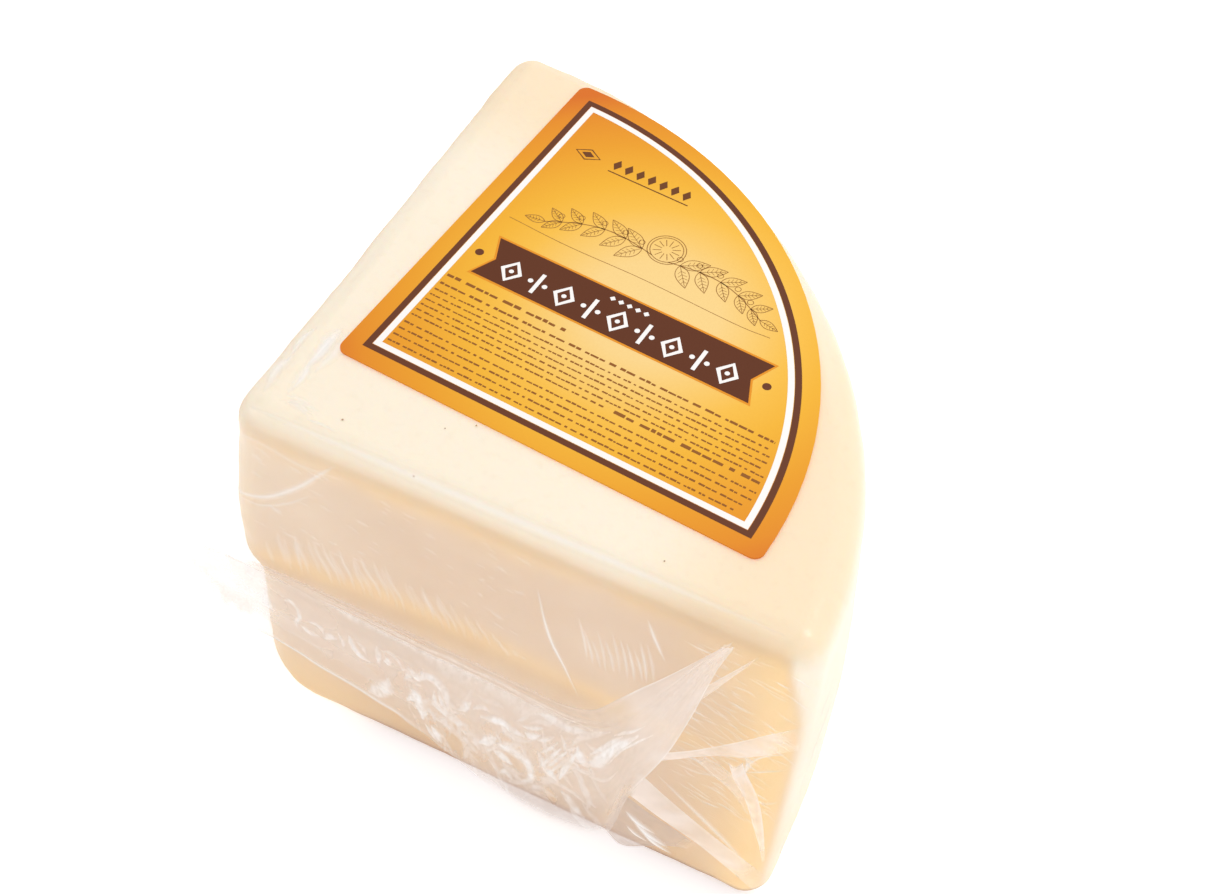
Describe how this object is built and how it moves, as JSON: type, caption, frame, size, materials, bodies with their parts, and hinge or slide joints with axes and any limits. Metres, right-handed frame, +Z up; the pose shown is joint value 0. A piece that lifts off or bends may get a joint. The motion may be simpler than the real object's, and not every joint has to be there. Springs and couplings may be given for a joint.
{
  "type": "parmesan chunk",
  "caption": "Quarter of a small hard-cheese wheel, shrink-wrapped in clear film with a crumpled seam fin, and a sector-shaped label on its flat top.",
  "frame": {"origin": "centre of the whole object's box at the level it stands on", "axes": "+Z up; the front cut face looks along -Y and the left cut face along -X, and the rind curves from +X to +Y"},
  "size_m": [0.1454, 0.1428, 0.1007],
  "materials": {
    "cheese": "pale waxy hard cheese under tight clear film",
    "label_paper": "printed coated paper, satin",
    "clear_film": "clear crumpled shrink film, glossy"
  },
  "bodies": {
    "root": {"cheese": "cheese", "label": "label_paper", "film_seam": "clear_film", "film_pleat_upper": "clear_film", "film_pleat_lower": "clear_film", "film_flap": "clear_film"}
  },
  "joints": []
}
